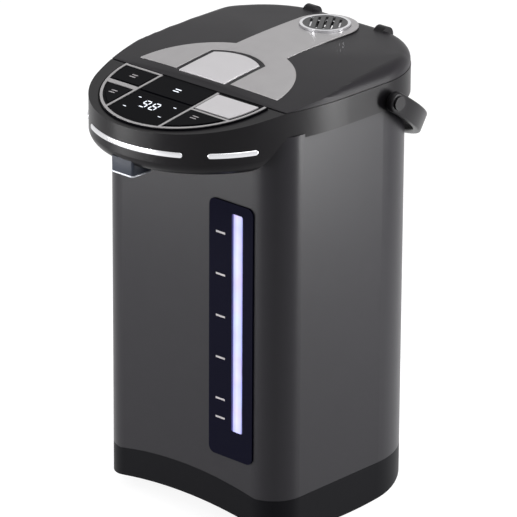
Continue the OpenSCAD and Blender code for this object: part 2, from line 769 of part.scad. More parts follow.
module display_module() at_middle() color([0.2, 0.2, 0.22]) on_panel()
    translate([column_x - 19, -row_d - 27, board_z]) cube([38, 20, -board_z - 1.8]);

module control_board() at_middle() color([0.15, 0.4, 0.2]) on_panel() {
    translate([0, 0, board_z - board_t]) linear_extrude(board_t) intersection() {
        circle(panel_r - 14);
        translate([-60, -60]) square([120, 56]);
    }
    for (p = [[-50, -15], [-45, -42], [column_x, -16], [45, -16], [38, -42]])
        translate([p[0] - 3, p[1] - 3, board_z]) cube([6, 6, 3]);
}

// A panel key: cap, flange under the panel and plunger over its switch
module panel_key(stem_x, stem_y) {
    clear = 0.25;
    translate([0, 0, -plate_h + 0.4]) linear_extrude(plate_h - 0.4 + key_proud) children();
    translate([stem_x, stem_y, board_z + 3 + key_travel + 0.3])
        cylinder(r = 2, h = -board_z - 3 - key_travel - 0.3 - plate_h + 0.6);
}
module lock_key() at_middle() color([0.1, 0.1, 0.12]) on_panel()
    panel_key(-50, -15) lock_cell(0.3);
module timer_key() at_middle() color([0.1, 0.1, 0.12]) on_panel()
    panel_key(-45, -42) timer_cell(0.3);
module boil_key() at_middle() color([0.1, 0.1, 0.12]) on_panel()
    panel_key(column_x, -16) boil_cell(0.3);
module cooling_key() at_middle() color([0.1, 0.1, 0.12]) on_panel()
    panel_key(38, -42) cooling_cell(0.3);
module dispense_key() at_middle() color([0.75, 0.75, 0.77]) on_panel()
    panel_key(45, -16) dispense_cell(0.3);

// ---- lid

module plate_shape(grow = 0) {
    intersection() {
        translate([0, fan_y - fan_back]) circle(fan_r + grow, $fn = 240);
        translate([-100, fan_y - grow]) square([200, 100]);
    }
    translate([-neck_half_w - grow, fan_y]) square([2 * (neck_half_w + grow), vent_y - fan_y]);
    translate([0, vent_y]) circle(neck_half_w + grow);
}

module key_shape(grow = 0) intersection() {
    translate([column_x, fan_y]) circle(key_arc_r + grow, $fn = 240);
    translate([column_x - key_w / 2 - grow, key_front_y - grow])
        square([key_w + 2 * grow, 80]);
}

// Space between the lid's top lowered by two amounts
module dome_layer(deep, high) difference() {
    dome_block(high);
    dome_block(deep);
}

module lid_cover() at_middle() color([0.2, 0.2, 0.21]) difference() {
    union() {
        difference() {
            lid_solid(0, 0);
            lid_solid(-head_wall, head_wall);
        }
        intersection() {
            union() {
                for (p = post_xy) translate([p[0], p[1], tray_z + tray_t])
                    cylinder(r = 4.5, h = 60);
                for (s = [-1, 1]) translate([column_x + s * 28 - 3, key_hinge_y - 4, key_hinge_z - 5])
                    cube([6, 8, 30]);
            }
            dome_block(0.5);
        }
        translate([part_gap - ear_x, hinge_y, hinge_z]) rotate([0, 90, 0])
            cylinder(r = 5, h = 2 * (ear_x - part_gap));
    }
    // seat of the silver plate, key opening, vent
    intersection() {
        dome_layer(plate_t + fit, -5);
        translate([0, 0, 300]) linear_extrude(200) difference() {
            plate_shape(fit);
            key_shape(key_frame - fit);
        }
    }
    translate([0, 0, rim_z - 10]) linear_extrude(100) key_shape(0.5);
    translate([0, vent_y, 300]) cylinder(r = 12, h = 200);
    // hinge and key pins
    translate([-60, hinge_y, hinge_z]) rotate([0, 90, 0])
        cylinder(r = hinge_pin_r + run, h = 120);
    translate([column_x - 30, key_hinge_y, key_hinge_z]) rotate([0, 90, 0])
        cylinder(r = 1.5, h = 60);
    both_sides() translate([ear_x - part_gap, hinge_y - hinge_r - 1, 300])
        cube([ear_t + 2 * part_gap, 60, 200]);
    for (p = post_xy) translate([p[0], p[1], 0]) cylinder(r = 1.3, h = tray_z + tray_t + 8);
    // room for the rear edge to swing down
    translate([-150, hinge_y - 12, lid_gap_z - cut]) cube([300, 40, 1.3 + cut]);
}

module lid_solid(grow, drop) intersection() {
    translate([0, 0, lid_gap_z - drop]) linear_extrude(60) intersection() {
        head_plan(grow - lid_inset);
        translate([-150, lid_front_y - grow]) square([300, 400]);
    }
    dome_block(drop);
    side_rounds(grow, drop);
}

// Block along Y whose upper side edges carry the lid's side radius
module side_rounds(grow, drop) {
    centre_x = half_w - lid_inset - lid_side_r + side_lap;
    centre_z = lid_top_z - centre_x * centre_x / (2 * crown_r) - lid_side_r;
    r = lid_side_r - drop;
    rotate([90, 0, 0]) translate([0, 0, -200]) linear_extrude(400) {
        translate([-200, 200]) square([400, centre_z - 200]);
        translate([-centre_x, 200]) square([2 * centre_x, 300]);
        for (s = [-1, 1]) translate([s * centre_x, centre_z]) circle(r);
    }
}

module lid_plate() at_middle() color([0.68, 0.67, 0.68]) intersection() {
    dome_layer(plate_t, -0.4);
    translate([0, 0, 300]) linear_extrude(200) difference() {
        plate_shape();
        key_shape(key_frame);
        translate([0, vent_y]) circle(vent_r + fit);
    }
}

module release_key() at_middle() color([0.8, 0.79, 0.81]) difference() {
    union() {
        intersection() {
            dome_layer(key_t + 0.4, -0.7);
            translate([0, 0, 300]) linear_extrude(200) key_shape(0);
        }
        intersection() {
            for (s = [-1, 1]) translate([column_x + s * 20 - 2, key_hinge_y - 4, key_hinge_z - 4])
                cube([4, 8, 30]);
            dome_block(1);
        }
        intersection() {
            translate([column_x - 4, wedge_y, latch_z + 2.5]) rotate([90, 0, 90])
                linear_extrude(8) wedge(1.5 * part_gap, -0.5, 3);
            dome_block(1);
        }
    }
    translate([column_x - 30, key_hinge_y, key_hinge_z]) rotate([0, 90, 0])
        cylinder(r = 1.5 + run, h = 60);
}

module release_key_pin() at_middle() color("silver")
    translate([column_x - 30, key_hinge_y, key_hinge_z]) rotate([0, 90, 0])
        cylinder(r = 1.5, h = 60);

// Wedge of the latch, in Y and Z from the latch's front foot; lift raises its sloped face
module wedge(lift, low, high) polygon([[low, low + wedge_rise + lift],
    [high, high + wedge_rise + lift], [high, lift > 0 ? 14 : 0], [low, lift > 0 ? 14 : 0]]);

module lid_latch() at_middle() color([0.3, 0.3, 0.32])
    translate([column_x, 0, latch_z]) {
        translate([-8, wall_y - 0.6, 0]) cube([16, 24, 3]);
        translate([-5, wedge_y, 2.5]) rotate([90, 0, 90]) linear_extrude(10) wedge(0, 0, 5);
    }

module lid_inner_cover() at_middle() color([0.25, 0.25, 0.26]) difference() {
    union() {
        translate([0, 0, tray_z]) cylinder(r = tray_r, h = tray_t);
        translate([0, 0, tray_z]) difference() {
            cylinder(r = tray_r, h = 12);
            translate([0, 0, -cut]) cylinder(r = tray_r - 2, h = 20);
        }
        translate([column_x - 12, -76, tray_z + tray_t - 0.2]) cube([24, 18, 1.5]);
    }
    for (p = post_xy) translate([p[0], p[1], 0]) cylinder(r = 1.6, h = 400);
    translate([0, vent_y - 12, 0]) cylinder(r = 8.3, h = 500);
    translate([column_x - 8.4, -90, latch_z - 0.02]) cube([16.8, 34, 6]);
}

module lid_screws() at_middle() color("silver")
    for (p = post_xy) translate([p[0], p[1], tray_z - 1.6]) {
        cylinder(r = 2.8, h = 1.6);
        cylinder(r = 1.25, h = 11);
    }

module lid_gasket() at_middle() color([0.9, 0.9, 0.9]) translate([0, 0, tray_z - 7])
    difference() {
        cylinder(r = tray_r + 1, h = 7);
        translate([0, 0, -cut]) cylinder(r = tray_r - 4, h = 9);
    }

module inner_lid() at_middle() color([0.75, 0.75, 0.76]) difference() {
    union() {
        translate([0, 0, tray_z - 7.8]) cylinder(r = tray_r - 2, h = 0.8);
        translate([0, 0, tray_z - 7.8]) cylinder(r = 20, h = 7.8);
    }
    for (a = [0 : 60 : 300]) rotate([0, 0, a]) translate([0, 55, tray_z - 10])
        cylinder(r = 2.5, h = 20);
}

module steam_duct() at_middle() color([0.85, 0.85, 0.85]) difference() {
    union() {
        translate([0, vent_y - 12, tray_z - 6]) cylinder(r = 8, h = vent_low_z - tray_z + 6);
        translate([0, vent_y - 12, tray_z + tray_t]) cylinder(r = 10.5, h = 2);
    }
    translate([0, vent_y - 12, 0]) cylinder(r = 6.5, h = 500);
}
vent_low_z = lid_top_z - head_wall - 3;

module vent_ring() at_middle() color([0.85, 0.85, 0.86]) translate([0, vent_y, 0]) difference() {
    union() {
        translate([0, 0, lid_top_z - 0.9]) cylinder(r = vent_r, h = 3);
        translate([0, 0, lid_top_z - 3.4]) cylinder(r = 11.8, h = 4);
    }
    translate([0, 0, lid_top_z - 5]) cylinder(r = 10.2, h = 20);
    translate([0, 0, lid_top_z + 0.3]) cylinder(r = vent_r - 2.4, h = 20);
}

module vent_grille() at_middle() color([0.2, 0.2, 0.21])
    translate([0, vent_y, lid_top_z + 0.3]) difference() {
        union() {
            cylinder(r = vent_r - 2.4 - fit, h = 1.5);
            translate([0, 0, -2.5]) cylinder(r = 10.2 - fit, h = 3);
        }
        rotate([0, 0, 35]) for (x = [-12 : 6 : 12]) {
            l = sqrt(15.5 * 15.5 - x * x);
            translate([x - 1.1, -l, -cut - 4]) cube([2.2, 2 * l, 20]);
        }
    }

module hinge_pin() at_middle() color("silver")
    translate([-ear_x - ear_t + 2, hinge_y, hinge_z]) rotate([0, 90, 0])
        cylinder(r = hinge_pin_r, h = 2 * (ear_x + ear_t - 2));

// ---- bail

module bail_handle() at_middle() color([0.17, 0.17, 0.18])
    translate([0, pivot_y, pivot_z]) rotate([-bail_slope, 0, 0]) difference() {
        union() {
            intersection() {
                translate([0, 0, -strap_w / 2]) difference() {
                    cylinder(r = bail_out_r, h = strap_w, $fn = fine);
                    translate([0, 0, -cut]) cylinder(r = bail_r, h = strap_w + 2 * cut, $fn = fine);
                }
                translate([-200, 0, -50]) cube([400, 200, 100]);
            }
            both_sides() translate([bail_r, 0, 0]) rotate([0, 90, 0])
                cylinder(r = strap_w / 2, h = bail_t);
        }
        both_sides() translate([bail_r - 5, 0, 0]) rotate([0, 90, 0])
            cylinder(r = pin_r + run, h = bail_t + 10);
    }

module handle_pins() at_middle() color([0.1, 0.1, 0.11]) both_sides()
    translate([half_w - 12, pivot_y, pivot_z]) rotate([0, 90, 0]) {
        cylinder(r = pin_r, h = bail_out_r + 0.4 - half_w + 12);
        translate([0, 0, bail_out_r + 0.3 - half_w + 12]) cylinder(r = 6, h = 1.5);
    }

outer_body();
base_skirt();
bottom_cover();
rubber_feet();
bottom_screws();
inner_pot();
pot_ring();
rim_seal();
heater_plate();
dry_boil_thermostat();
temperature_sensor();
inlet_hose();
pump_casing();
pump_impeller();
pump_can();
pump_motor();
drive_magnet();
riser_hose();
gauge_tube();
outlet_hose();
spout_nozzle();
spout_cover();
gauge_panel();
gauge_window();
gauge_light_board();
gauge_marks();
head_collar();
collar_screws();
trim_strips();
panel_plate();
panel_lines();
display_window();
display_module();
control_board();
lock_key();
timer_key();
boil_key();
cooling_key();
dispense_key();
power_board();
mains_inlet();
lid_cover();
lid_plate();
release_key();
release_key_pin();
lid_latch();
lid_inner_cover();
lid_screws();
lid_gasket();
inner_lid();
steam_duct();
vent_ring();
vent_grille();
hinge_pin();
bail_handle();
handle_pins();
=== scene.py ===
# Electric thermo pot: the finish of every piece, the camera and the light, put round the
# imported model. The sections follow the pot as it is put together, from the body upwards.
# Lengths are millimetres in the pot's own frame: x to the right, y to the back from the
# body's middle, z up from the table. put() turns them into the scene's metres.
import math

import bmesh
import bpy
from mathutils import Matrix, Vector
from mathutils.geometry import delaunay_2d_cdt


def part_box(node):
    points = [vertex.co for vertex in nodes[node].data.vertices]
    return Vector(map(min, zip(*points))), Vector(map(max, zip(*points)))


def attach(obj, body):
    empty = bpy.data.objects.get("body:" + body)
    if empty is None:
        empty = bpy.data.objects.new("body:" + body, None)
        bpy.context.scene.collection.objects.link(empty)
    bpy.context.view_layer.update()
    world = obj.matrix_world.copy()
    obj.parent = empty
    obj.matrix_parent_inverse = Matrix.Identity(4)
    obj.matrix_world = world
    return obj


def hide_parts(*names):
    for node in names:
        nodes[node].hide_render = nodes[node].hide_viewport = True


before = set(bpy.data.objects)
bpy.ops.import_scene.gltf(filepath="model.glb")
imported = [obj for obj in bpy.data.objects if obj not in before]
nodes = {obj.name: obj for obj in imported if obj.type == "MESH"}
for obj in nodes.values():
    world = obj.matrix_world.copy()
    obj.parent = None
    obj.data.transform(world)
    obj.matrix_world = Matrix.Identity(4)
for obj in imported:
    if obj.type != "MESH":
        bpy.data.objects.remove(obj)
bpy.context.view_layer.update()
scene = bpy.context.scene
scene.view_settings.view_transform = "Standard"

# ---------------------------------------------------------------- body
# Steel sheet rolled round the pot and folded in at both ends, with satin gunmetal paint.
# It stands in the base ring and the head sits on it. Its paint is the first finish, so the
# grain that all finishes share is built here.
grain = bpy.data.node_groups.new("surface_grain", "ShaderNodeTree")
for label in ("Scale", "Detail", "Distance", "Strength"):
    grain.interface.new_socket(label, in_out="INPUT", socket_type="NodeSocketFloat")
grain.interface.new_socket("Normal", in_out="OUTPUT", socket_type="NodeSocketVector")
grain.interface.new_socket("Mask", in_out="OUTPUT", socket_type="NodeSocketFloat")
given = grain.nodes.new("NodeGroupInput")
result = grain.nodes.new("NodeGroupOutput")
place = grain.nodes.new("ShaderNodeTexCoord")
fine_noise = grain.nodes.new("ShaderNodeTexNoise")
wide_noise = grain.nodes.new("ShaderNodeTexNoise")
wide_noise.inputs["Detail"].default_value = 2
wide_scale = grain.nodes.new("ShaderNodeMath")
wide_scale.operation = "DIVIDE"
wide_scale.inputs[1].default_value = 40
grain_bump = grain.nodes.new("ShaderNodeBump")
for a, b in ((given.outputs["Scale"], fine_noise.inputs["Scale"]),
             (given.outputs["Detail"], fine_noise.inputs["Detail"]),
             (given.outputs["Scale"], wide_scale.inputs[0]),
             (wide_scale.outputs["Value"], wide_noise.inputs["Scale"]),
             (given.outputs["Distance"], grain_bump.inputs["Distance"]),
             (given.outputs["Strength"], grain_bump.inputs["Strength"]),
             (place.outputs["Object"], fine_noise.inputs["Vector"]),
             (place.outputs["Object"], wide_noise.inputs["Vector"]),
             (fine_noise.outputs["Fac"], grain_bump.inputs["Height"]),
             (grain_bump.outputs["Normal"], result.inputs["Normal"]),
             (wide_noise.outputs["Fac"], result.inputs["Mask"])):
    grain.links.new(a, b)


def surface(name, color, rough, grit, metallic=0.0, spread=0.06, tint=0.12, **sockets):
    """A finish whose colour and roughness vary a little; grit is its scale, detail, depth
    and strength of grain."""
    finish = bpy.data.materials.new(name)
    finish.use_nodes = True
    finish.diffuse_color = (*color, 1)
    tree = finish.node_tree
    shader = tree.nodes["Principled BSDF"]
    texture = tree.nodes.new("ShaderNodeGroup")
    texture.node_tree = grain
    for label, value in zip(("Scale", "Detail", "Distance", "Strength"), grit):
        texture.inputs[label].default_value = value
    tree.links.new(texture.outputs["Normal"], shader.inputs["Normal"])
    vary = tree.nodes.new("ShaderNodeMapRange")
    vary.inputs["To Min"].default_value = max(rough - spread, 0.02)
    vary.inputs["To Max"].default_value = rough + spread
    tree.links.new(texture.outputs["Mask"], vary.inputs["Value"])
    tree.links.new(vary.outputs["Result"], shader.inputs["Roughness"])
    mix = tree.nodes.new("ShaderNodeMix")
    mix.data_type = "RGBA"
    mix.inputs["A"].default_value = (*[c * (1 - tint) for c in color], 1)
    mix.inputs["B"].default_value = (*[c * (1 + tint) for c in color], 1)
    tree.links.new(texture.outputs["Mask"], mix.inputs["Factor"])
    tree.links.new(mix.outputs["Result"], shader.inputs["Base Color"])
    shader.inputs["Metallic"].default_value = metallic
    for label, value in sockets.items():
        shader.inputs[label.replace("_", " ")].default_value = value
    return finish


def coat(finish, *names):
    """Gives solids of the model their finish."""
    for name in names:
        slots = nodes[name].data.materials
        slots.clear()
        slots.append(finish)


FINE = (2600, 2, 0.00004, 0.35)
coat(surface("gunmetal_paint", (0.014, 0.0133, 0.0158), 0.34, FINE, 0.0, 0.03, 0.05,
             Specular_IOR_Level=0.15), "outer_body")

# ---------------------------------------------------------------- base
# Black moulded ring with the bottom cover screwed up into it, on four rubber feet. The
# mains inlet sits in the rear of the ring. Moulded pieces have a coarser, dull grain.
MOULDED = (1100, 3, 0.00008, 0.4)
coat(surface("black_moulding", (0.004, 0.004, 0.005), 0.42, MOULDED, 0.0, 0.05, 0.1,
             Specular_IOR_Level=0.04), "base_skirt", "mains_inlet")
inner_black = surface("inner_black", (0.015, 0.015, 0.016), 0.5, MOULDED)
coat(inner_black, "bottom_cover")
coat(surface("black_rubber", (0.014, 0.014, 0.014), 0.7, MOULDED), "rubber_feet")
zinc = surface("zinc_plating", (0.6, 0.6, 0.62), 0.3, FINE, 1.0, 0.08, 0.06)
coat(zinc, "bottom_screws")

# ---------------------------------------------------------------- inner pot
# Drawn stainless pot that hangs by its rim in a moulded ring, with a silicone seal. The
# cast heater, a thermostat and a brass sensor are clamped against its bottom.
stainless = surface("stainless", (0.58, 0.58, 0.59), 0.22, FINE, 1.0, 0.05, 0.03)
coat(stainless, "inner_pot")
coat(inner_black, "pot_ring")
silicone = surface("silicone", (0.72, 0.72, 0.7), 0.45, FINE, 0.0, 0.05, 0.04,
                   Transmission_Weight=0.2)
coat(silicone, "rim_seal")
coat(surface("cast_aluminium", (0.5, 0.5, 0.5), 0.45, MOULDED, 1.0), "heater_plate")
white_moulding = surface("white_moulding", (0.68, 0.68, 0.66), 0.45, MOULDED, 0.0, 0.05, 0.03)
coat(white_moulding, "dry_boil_thermostat")
coat(surface("brass", (0.6, 0.42, 0.16), 0.3, FINE, 1.0), "temperature_sensor")

# ---------------------------------------------------------------- pump and hoses
# White moulded pump whose rotor is turned by a magnet on the motor's shaft. Silicone hoses
# are pushed on its stubs and lead the water up past the gauge to a black nozzle.
coat(white_moulding, "pump_casing", "pump_impeller")
coat(inner_black, "pump_can", "spout_nozzle")
coat(zinc, "pump_motor")
coat(surface("ferrite", (0.05, 0.05, 0.055), 0.5, MOULDED, 0.3), "drive_magnet")
coat(silicone, "inlet_hose", "riser_hose", "outlet_hose")

# ---------------------------------------------------------------- electronics
# Green circuit boards for the mains, the keys and the gauge's light, screwed or clipped to
# posts, and the grey module that holds the display under its window.
coat(surface("circuit_board", (0.02, 0.14, 0.06), 0.4, FINE, 0.0, 0.05, 0.3),
     "power_board", "control_board", "gauge_light_board")
grey_moulding = surface("grey_moulding", (0.16, 0.16, 0.17), 0.45, MOULDED)
coat(grey_moulding, "display_module")

# ---------------------------------------------------------------- water gauge
# Gloss black strip let into the front of the body, with printed level marks. Behind its
# long window a glass tube shows the level, lit pale blue from the side.
POLISHED = (240, 1, 0.00003, 0.08)
coat(surface("gauge_black", (0.003, 0.003, 0.009), 0.12, POLISHED, 0.0, 0.02, 0.1,
             Specular_IOR_Level=0.02), "gauge_panel")
grey_print = surface("grey_print", (0.32, 0.3, 0.31), 0.5, FINE)
coat(grey_print, "gauge_marks")
coat(surface("glass_tube", (0.85, 0.9, 0.95), 0.05, POLISHED, 0.0, 0.02, 0.02,
             Transmission_Weight=0.95, IOR=1.47), "gauge_tube")

# The light bar is bright along its middle and bluer towards its edges
lit_window = bpy.data.materials.new("lit_window")
lit_window.use_nodes = True
lit_nodes, lit_link = lit_window.node_tree.nodes, lit_window.node_tree.links.new
lit_shader = lit_nodes["Principled BSDF"]
lit_place = lit_nodes.new("ShaderNodeTexCoord")
lit_split = lit_nodes.new("ShaderNodeSeparateXYZ")
lit_link(lit_place.outputs["Object"], lit_split.inputs["Vector"])
across = lit_nodes.new("ShaderNodeMapRange")
across.inputs["From Min"].default_value = 0.0508
across.inputs["From Max"].default_value = 0.0632
lit_link(lit_split.outputs["X"], across.inputs["Value"])
ramp = lit_nodes.new("ShaderNodeValToRGB")
shades = ramp.color_ramp
shades.elements[0].position, shades.elements[0].color = 0.0, (0.02, 0.02, 0.07, 1)
shades.elements[1].position, shades.elements[1].color = 1.0, (0.12, 0.13, 0.34, 1)
for spot, shade in ((0.14, (0.05, 0.05, 0.16, 1)), (0.24, (0.42, 0.42, 0.74, 1)),
                    (0.5, (0.56, 0.56, 0.86, 1)), (0.86, (0.44, 0.44, 0.78, 1))):
    shades.elements.new(spot).color = shade
lit_link(across.outputs["Result"], ramp.inputs["Fac"])
haze = lit_nodes.new("ShaderNodeTexNoise")
haze.inputs["Scale"].default_value = 60
lit_link(lit_place.outputs["Object"], haze.inputs["Vector"])
hazed = lit_nodes.new("ShaderNodeMix")
hazed.data_type, hazed.blend_type = "RGBA", "MULTIPLY"
hazed.inputs["Factor"].default_value = 0.35
lit_link(ramp.outputs["Color"], hazed.inputs["A"])
lit_link(haze.outputs["Color"], hazed.inputs["B"])
lit_link(hazed.outputs["Result"], lit_shader.inputs["Base Color"])
lit_link(hazed.outputs["Result"], lit_shader.inputs["Emission Color"])
lit_shader.inputs["Emission Strength"].default_value = 0.42
lit_shader.inputs["Roughness"].default_value = 0.25
lit_shader.inputs["Specular IOR Level"].default_value = 0.05
coat(lit_window, "gauge_window")

# ---------------------------------------------------------------- head
# One dark moulding with the nose, the deck for the panel, the mouth of the pot and the
# ears of the hinge. Four screws hold it on the ring that carries the inner pot.
dark_moulding = surface("dark_moulding", (0.008, 0.0075, 0.0085), 0.32, MOULDED, 0.0, 0.05, 0.1,
                        Specular_IOR_Level=0.09)
coat(dark_moulding, "head_collar")
coat(zinc, "collar_screws")

# ---------------------------------------------------------------- bright strips
# Three plated strips with round ends, snapped in a row round the nose. They are the first
# pieces made anew: each is a block with bevelled corners and rims, sliced, then bent.
body_low, body_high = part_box("outer_body")
MIDDLE_Y = (body_low[1] + body_high[1]) / 2
NOSE_R, NOSE_C = 94, 74
STRIP_LOW, STRIP_HIGH, STRIP_DEPTH, STRIP_PROUD = 338.2, 342.8, 1.5, 0.9


def put(x, y, z):
    return Vector((x / 1000, y / 1000 + MIDDLE_Y, z / 1000))


def soften(bm, z, radius, steps=3):
    """Rounds the rims of a block that lie at one height."""
    rims = [e for e in bm.edges if e.calc_face_angle(0) > 1
            and all(abs(v.co.z - z) < 0.001 for v in e.verts)]
    bmesh.ops.bevel(bm, geom=rims, offset=radius, segments=steps, profile=0.5,
                    affect="EDGES", material=-1)


def block(x0, x1, y0, y1, depth, corner):
    """A flat block with round corners, its upper face at z 0."""
    bm = bmesh.new()
    middle = Matrix.Translation(((x0 + x1) / 2, (y0 + y1) / 2, -depth / 2))
    size = Matrix.Diagonal((x1 - x0, y1 - y0, depth, 1))
    bmesh.ops.create_cube(bm, size=1, matrix=middle @ size)
    upright = [e for e in bm.edges if abs(e.verts[0].co.z - e.verts[1].co.z) > depth / 2]
    bmesh.ops.bevel(bm, geom=upright, offset=corner, segments=max(2, math.ceil(corner * 2)),
                    profile=0.5, affect="EDGES", material=-1)
    return bm


def cut_across(bm, step, axis=0):
    """Cuts a block into slices, so that it can follow a curve."""
    spots = [v.co[axis] for v in bm.verts]
    way = Vector((axis == 0, axis == 1, 0))
    for i in range(1, math.ceil((max(spots) - min(spots)) / step)):
        bmesh.ops.bisect_plane(bm, geom=bm.verts[:] + bm.edges[:] + bm.faces[:], dist=0.001,
                               plane_co=way * (min(spots) + i * step), plane_no=way)


def bend(bm, where, lift=0):
    """Moves a block from its drawing plane to its place on the pot."""
    bmesh.ops.triangulate(bm, faces=[f for f in bm.faces if len(f.verts) > 4])
    for v in bm.verts:
        v.co = where(v.co.x, v.co.y, v.co.z + lift)
    return bm


def gather(blocks):
    """Several blocks as one mesh."""
    whole = bmesh.new()
    for bm in blocks:
        loose = bpy.data.meshes.new("loose")
        bm.to_mesh(loose)
        bm.free()
        whole.from_mesh(loose)
        bpy.data.meshes.remove(loose)
    return whole


def piece(name, bm, finish, body, slot, *replaced):
    """A finished piece from its mesh, riding on its body."""
    bmesh.ops.recalc_face_normals(bm, faces=bm.faces)
    for face in bm.faces:
        face.smooth = True
    mesh = bpy.data.meshes.new(name)
    bm.to_mesh(mesh)
    bm.free()
    mesh.set_sharp_from_angle(angle=math.radians(38))
    obj = bpy.data.objects.new(name, mesh)
    scene.collection.objects.link(obj)
    mesh.materials.append(finish)
    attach(obj, body)
    if replaced:
        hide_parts(*replaced)


def on_nose(u, v, h):
    turn = u / NOSE_R
    return put((NOSE_R + h) * math.sin(turn), -NOSE_C - (NOSE_R + h) * math.cos(turn), v)


strips = []
for start, end in ((-32, 32), (44, 69), (-69, -44)):
    strip = block(math.radians(start) * NOSE_R, math.radians(end) * NOSE_R,
                  STRIP_LOW, STRIP_HIGH, STRIP_DEPTH, 2.2)
    soften(strip, 0, 0.8, 4)
    cut_across(strip, 3)
    strips.append(bend(strip, on_nose, STRIP_PROUD))
plating = surface("bright_plating", (0.66, 0.66, 0.68), 0.16, POLISHED, 1.0, 0.03, 0.05)
piece("bright_strips", gather(strips), plating, "pot", "chrome_trim", "trim_strips")

# ---------------------------------------------------------------- spout
# Small moulded box that hangs under the nose round the nozzle, with a brighter rim pressed
# on its open lower end. The rim is a block whose middle is inset and bridged to a hole.
BOX = (-16, 8, -166.5, -144.5)
BOX_TOP, BOX_DEPTH, LIP, LIP_TOP, LIP_DEPTH, LIP_WALL = 328, 13.5, 0.4, 315.6, 1.5, 2.9
spout_box = block(*BOX, BOX_DEPTH, 2.5)
soften(spout_box, 0, 0.1)
soften(spout_box, -BOX_DEPTH, 0.8)
piece("spout_box", bend(spout_box, put, BOX_TOP),
      surface("spout_moulding", (0.03, 0.034, 0.045), 0.35, MOULDED, Specular_IOR_Level=0.08),
      "pot", "grey_plastic", "spout_cover")

spout_rim = block(BOX[0] - LIP, BOX[1] + LIP, BOX[2] - LIP, BOX[3] + LIP, LIP_DEPTH,
                  LIP_WALL + 0.2)
ends = [f for f in spout_rim.faces if abs(f.normal.z) > 0.9]
bmesh.ops.inset_individual(spout_rim, faces=ends, thickness=LIP_WALL,
                             use_even_offset=True)
mouth = [e for f in ends for e in f.edges]
bmesh.ops.delete(spout_rim, geom=ends, context="FACES_ONLY")
bmesh.ops.bridge_loops(spout_rim, edges=mouth)
soften(spout_rim, 0, 0.5)
soften(spout_rim, -LIP_DEPTH, 0.5)
piece("spout_rim", bend(spout_rim, put, LIP_TOP),
      surface("spout_rim", (0.45, 0.46, 0.5), 0.3, FINE, 0.2), "pot", "grey_plastic")

# ---------------------------------------------------------------- panel
# Gloss black plate let into the slope of the deck, with silver lines and the display's
# window in it. The lit figures are thin blocks on that window: two numerals and dashes.
TILT = math.radians(8.5)
PANEL_Y, PANEL_Z = -86.3, 369.2
gloss_black = surface("gloss_black", (0.002, 0.002, 0.003), 0.1, POLISHED, 0.0, 0.02, 0.1,
                      Specular_IOR_Level=0.01)
coat(gloss_black, "panel_plate", "display_window")
silver = surface("silver_lacquer", (0.3, 0.29, 0.295), 0.36, FINE, 0.35, 0.03, 0.08)
coat(silver, "panel_lines")


def on_panel(x, y, h):
    return put(x, PANEL_Y + y * math.cos(TILT) - h * math.sin(TILT),
               PANEL_Z + y * math.sin(TILT) + h * math.cos(TILT))


def mark(x, y, half_w, half_h, thick, corner, lift):
    """A printed or lit bar on the panel."""
    bar = block(x - half_w, x + half_w, y - half_h, y + half_h, thick, corner)
    soften(bar, 0, 0.05)
    return bend(bar, on_panel, lift)


FIGURE_DEPTH, FIGURE_LIFT, DISPLAY_Y = 0.25, 0.12, -46
ACROSS, UPRIGHT, DASH = (2.2, 0.55), (0.55, 2.0), (1.6, 0.4)
PLACES = {"a": (0, 5.2, ACROSS), "g": (0, 0, ACROSS), "d": (0, -5.2, ACROSS),
          "f": (-2.8, 2.6, UPRIGHT), "b": (2.8, 2.6, UPRIGHT),
          "e": (-2.8, -2.6, UPRIGHT), "c": (2.8, -2.6, UPRIGHT)}
lit = []
for letters, middle_x in (("abcdfg", -11.5), ("abcdefg", -1.5)):
    for letter in letters:
        dx, dy, halves = PLACES[letter]
        lit.append(mark(middle_x + dx, DISPLAY_Y + dy, *halves, FIGURE_DEPTH, 0.5, FIGURE_LIFT))
for x, y in ((-24, -39), (14, -39), (-24, -57), (14, -57)):
    lit.append(mark(x, y, *DASH, FIGURE_DEPTH, 0.35, FIGURE_LIFT))
glow_white = surface("display_glow", (0.6, 0.62, 0.66), 0.3, POLISHED, 0.0, 0.02, 0.02,
                     Emission_Strength=0.9, Emission_Color=(0.75, 0.8, 0.9, 1))
piece("display_figures", gather(lit), glow_white, "pot", "white_plastic")

# ---------------------------------------------------------------- keys
# Four moulded black caps and a wide light one for dispensing, each on its own travel in
# the panel. Two short bars are printed on each black cap, and those of one cap glow.
BAR, BAR_DEPTH, BAR_GAP, CAP_TOP = (3.2, 0.55), 0.2, 1.6, 0.9
coat(surface("key_black", (0.003, 0.003, 0.004), 0.25, POLISHED, 0.0, 0.04, 0.1,
             Specular_IOR_Level=0.01), "lock_key", "timer_key", "boil_key", "cooling_key")
light_silver = surface("light_silver", (0.5, 0.485, 0.5), 0.34, FINE, 0.3, 0.03, 0.03)
coat(light_silver, "dispense_key")
for key, x, y, ink in (("lock_key", -54, -15, grey_print), ("timer_key", -49, -44, grey_print),
                       ("boil_key", -5, -16, glow_white), ("cooling_key", 40, -44, grey_print)):
    bars = [mark(x, y + dy, *BAR, BAR_DEPTH, 0.5, CAP_TOP) for dy in (BAR_GAP, -BAR_GAP)]
    piece(key + "_mark", gather(bars), ink, key, "grey_print")

